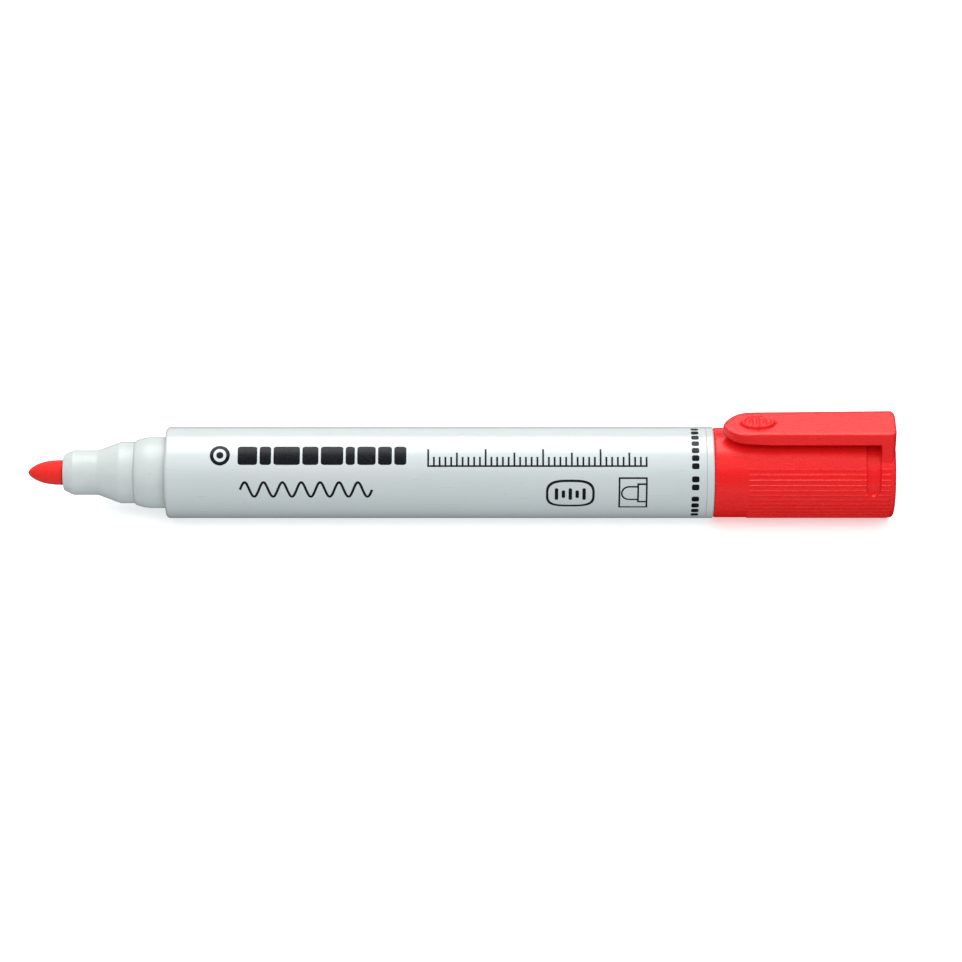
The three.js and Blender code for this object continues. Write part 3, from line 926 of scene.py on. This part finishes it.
INK_PROUD = 0.012
INK_SUNK = 0.02


def rule_lines(x0, x1, s0, s1, corner=0.0):
    """A filled bar as its left and right edges. s runs round the barrel, down from its front line."""
    count = max(2, math.ceil((s1 - s0) / 0.15))
    left, right = [], []
    for k in range(count + 1):
        s = s0 + (s1 - s0) * k / count
        edge = min(s - s0, s1 - s)
        inset = 0
        if edge < corner:
            inset = corner - math.sqrt(max(0, corner**2 - (corner - edge) ** 2))
        left.append((x0 + inset, s))
        right.append((x1 - inset, s))
    return left, right, False


def loop_lines(outline, stroke):
    """A closed line of that width, from outline(share, inset), which gives a point (x, s)."""
    count = 96
    outer = [outline(k / count, 0) for k in range(count)]
    inner = [outline(k / count, stroke) for k in range(count)]
    return outer, inner, True


def oval(x, s, half_x, half_s, power=2.0):
    """An outline that is an ellipse at power 2 and squarer above it."""
    def outline(share, inset):
        c, d = math.cos(TURN * share), math.sin(TURN * share)
        return (
            x + (half_x - inset) * math.copysign(abs(c) ** (2 / power), c),
            s + (half_s - inset) * math.copysign(abs(d) ** (2 / power), d),
        )
    return outline


def stroke_lines(points, width):
    """An open line of that width through the points."""
    left, right = [], []
    for i, (x, s) in enumerate(points):
        ahead, behind = points[min(i + 1, len(points) - 1)], points[max(i - 1, 0)]
        along = Vector((ahead[0] - behind[0], ahead[1] - behind[1])).normalized()
        left.append((x - along.y * width / 2, s + along.x * width / 2))
        right.append((x + along.y * width / 2, s - along.x * width / 2))
    return left, right, False


def frame_lines(x0, x1, s0, s1, stroke):
    """The left, upper, lower and right bars of a square-cornered frame."""
    return [
        rule_lines(x0, x0 + stroke, s0, s1),
        rule_lines(x0 + stroke, x1 - stroke, s0, s0 + stroke),
        rule_lines(x0 + stroke, x1 - stroke, s1 - stroke, s1),
        rule_lines(x1 - stroke, x1, s0, s1),
    ]


def emblem_marks(at):
    """A ring with a dot."""
    return [
        loop_lines(oval(at + 9.75, -3.05, 1.75, 1.85), 0.62),
        rule_lines(at + 9.15, at + 10.35, -3.7, -2.4, 0.6),
    ]


def block_marks(at):
    """A row of blocks of different widths."""
    marks = []
    x = at + 12.85
    for width in (3.4, 2.0, 4.6, 2.8, 3.9, 1.6, 3.2, 2.4, 2.1):
        marks.append(rule_lines(x, x + width, -4.75, -1.3, 0.45))
        x += width + 0.42
    return marks


def scale_marks(at):
    """A scale with longer ticks at each fifth and tenth, and a line under it."""
    ticks, tick_width, line_width, foot = 39, 0.32, 0.3, -1.25
    start = at + 45.85
    marks = []
    for k in range(ticks):
        tall = 3.0 if k % 10 == 0 else 2.3 if k % 5 == 0 else 1.5
        marks.append(rule_lines(start + k, start + k + tick_width, foot - tall, foot))
    marks.append(rule_lines(start, start + ticks - 1 + tick_width, foot, foot + line_width))
    return marks


def wave_marks(at):
    """A wavy line."""
    length, waves, height, steps = 23, 7, 1.35, 240
    wave = []
    for k in range(steps + 1):
        share = k / steps
        wave.append((at + 13.25 + length * share, 3.1 - height * math.sin(TURN * waves * share)))
    return [stroke_lines(wave, 0.42)]


def badge_marks(at):
    """Five upright bars in a rounded oval."""
    middle_s, pitch, half_width = 3.97, 1.2, 0.3
    marks = [loop_lines(oval(at + 70.75, middle_s, 4.25, 2.7, 3.2), 0.42)]
    for k in range(-2, 3):
        x = at + 70.75 + pitch * k
        half = 0.75 if k % 2 else 1.15
        marks.append(rule_lines(x - half_width, x + half_width, middle_s - half, middle_s + half, 0.2))
    return marks


def nib_marks(at):
    """A framed drawing of a bullet nib in its holder."""
    line, holder, holder_end = 0.3, at + 82.4, at + 84.2
    marks = frame_lines(at + 79.15, holder_end, 0.85, 6.95, line)
    marks += frame_lines(holder, holder_end, 1.92, 5.66, line)[:3]
    point = []
    for k in range(25):
        turn = math.pi * k / 24
        point.append((at + 81 - 1.3 * math.sin(turn), 3.79 + 1.24 * math.cos(turn)))
    marks.append(stroke_lines([(holder, 5.03), *point, (holder, 2.55)], 0.28))
    return marks


def column_marks(at):
    """A column of small blocks in three groups, round the barrel's rear end."""
    pitch, gap = 1.45, 0.85
    marks = []
    s = -10.3
    for group in (7, 2, 4):
        for _ in range(group):
            marks.append(rule_lines(at + 91.9, at + 93.2, s, s + 1.05, 0.25))
            s += pitch
        s += gap
    return marks


def print_layout():
    """Plain marks in place of the maker's print, in distances from the barrel's front."""
    groups = (emblem_marks, block_marks, scale_marks, wave_marks, badge_marks, nib_marks, column_marks)
    return [mark for group in groups for mark in group(BARREL_START)]


def build_print():
    """The ink is a thin slab on the barrel's surface, so it has a real edge."""
    bm = bmesh.new()
    for left, right, closed in print_layout():
        levels = [BODY + INK_PROUD, BODY + INK_PROUD, BODY - INK_SUNK, BODY - INK_SUNK]
        lines = [left, right, right, left]
        rows = [
            [bm.verts.new(place(x, r, FRONT + s / BODY)) for x, s in line]
            for line, r in zip(lines, levels)
        ]
        count = len(left)
        for k in range(count if closed else count - 1):
            n = (k + 1) % count
            for a, b in zip(rows, rows[1:] + rows[:1]):
                bm.faces.new([a[k], a[n], b[n], b[k]])
        if not closed:
            for k in (0, -1):
                bm.faces.new([row[k] for row in rows])
    piece = finish_mesh(bm, "barrel_print", PRINT_INK, sharp=30)
    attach(piece, "barrel")


build_nib()
build_nose()
build_collar()
build_barrel()
build_plug()
build_reservoir()
build_film()
build_air_tube()
build_cap()
build_liner()
build_clip()
build_print()


# ---------------------------------------------------------------- studio

CAMERA_DISTANCE = 740
FRAME_WIDTH = 169.1
SENSOR = 36
AIM_ALONG = 3.65
AIM_BELOW_AXIS = 1.5
WARM = (1, 0.98, 0.965)
COOL = (0.93, 0.98, 1)

# Metres.
BACKDROP_FLAT = 2.2
BACKDROP_BEND = 0.7
BACKDROP_TOP = 3.0


def backdrop_paper():
    """Pale paper that glows a little, as it does on a light table."""
    made = Shader("backdrop_paper", (0.9, 0.9, 0.9), 0.9, Specular_IOR_Level=0.1)
    made.constants(Emission_Color=(1, 1, 1, 1), Emission_Strength=0.5)
    cloud = made.noise(60, detail=2)
    made.color(made.mix(made.spread(cloud, 0, 1), (0.89, 0.89, 0.89), (0.91, 0.91, 0.91)))
    return made.material


def build_backdrop():
    """A flat floor that curves up into a wall all round. The camera sees it, and it lights nothing."""
    outline = [(BACKDROP_FLAT * k / 4, 0) for k in range(5)]
    for k in range(1, 13):
        turn = math.pi / 2 * k / 12
        rise = BACKDROP_BEND * (1 - math.cos(turn))
        outline.append((BACKDROP_FLAT + BACKDROP_BEND * math.sin(turn), rise))
    outline.append((BACKDROP_FLAT + BACKDROP_BEND, BACKDROP_TOP))
    bm = bmesh.new()
    rings = [[bm.verts.new((0, 0, 0))]]
    for r, z in outline[1:]:
        rings.append([bm.verts.new((r * math.cos(a), r * math.sin(a), z)) for a in even_angles(96)])
    for near, far in zip(rings, rings[1:]):
        bridge(bm, near, far)
    backdrop = finish_mesh(bm, "backdrop", backdrop_paper())
    backdrop.modifiers.clear()
    backdrop.visible_diffuse = False
    backdrop.visible_glossy = False
    backdrop.visible_shadow = False


def softbox(name, toward, distance, size, power, color):
    """A rectangular light that faces the marker. toward is (X, Y, Z) from the marker."""
    data = bpy.data.lights.new(name, "AREA")
    data.shape = "RECTANGLE"
    data.size, data.size_y = size
    data.energy = power
    data.color = color
    lamp = bpy.data.objects.new(name, data)
    bpy.context.scene.collection.objects.link(lamp)
    direction = Vector(toward).normalized()
    lamp.location = direction * distance
    lamp.rotation_euler = direction.to_track_quat("Z", "Y").to_euler()
    return lamp


def build_lights():
    """Two lights that show in the gloss, and soft ones that only fill in the shade."""
    back = math.radians(26)
    softbox("key", (0, math.sin(back), math.cos(back)), 0.7, (0.6, 0.62), 3.4, WARM)
    softbox("rim", (0, 1, 0.1), 1, (1.8, 0.6), 1.9, WARM)
    dull = [
        softbox("fill", (0, -0.36, 1), 1.2, (2.0, 1.0), 12.3, (0.98, 1, 1)),
        softbox("table", (0, -1, -0.6), 1.2, (2.5, 2), 12.2, COOL),
        softbox("cap_side", (1, 0, 0.3), 1.2, (1, 1), 2, (1, 1, 1)),
        softbox("nib_side", (-1, 0, 0.3), 1.2, (1, 1), 1.2, (1, 1, 1)),
    ]
    for lamp in dull:
        lamp.visible_glossy = False


def build_world():
    """A dim, slightly blue sky that doesn't show in the gloss."""
    world = bpy.data.worlds.new("studio")
    world.use_nodes = True
    sky = world.node_tree.nodes["Background"]
    sky.inputs["Color"].default_value = (0.93, 0.97, 1, 1)
    sky.inputs["Strength"].default_value = 0.3
    world.cycles_visibility.glossy = False
    bpy.context.scene.world = world


def build_camera():
    """A long lens, high in front of the marker and square to it."""
    rise = math.radians(CAMERA_ELEVATION)
    toward = Vector((0, -math.cos(rise), math.sin(rise)))
    up = Vector((0, math.sin(rise), math.cos(rise)))
    aim = Vector((AIM_ALONG, 0, AXIS_HEIGHT)) - up * AIM_BELOW_AXIS
    data = bpy.data.cameras.new("camera")
    data.sensor_width = SENSOR
    data.lens = SENSOR * CAMERA_DISTANCE / FRAME_WIDTH
    camera = bpy.data.objects.new("camera", data)
    bpy.context.scene.collection.objects.link(camera)
    camera.location = (aim + toward * CAMERA_DISTANCE) * MM
    camera.rotation_euler = toward.to_track_quat("Z", "Y").to_euler()
    bpy.context.scene.camera = camera


build_backdrop()
build_lights()
build_world()
build_camera()
bpy.context.scene.view_settings.view_transform = "Standard"
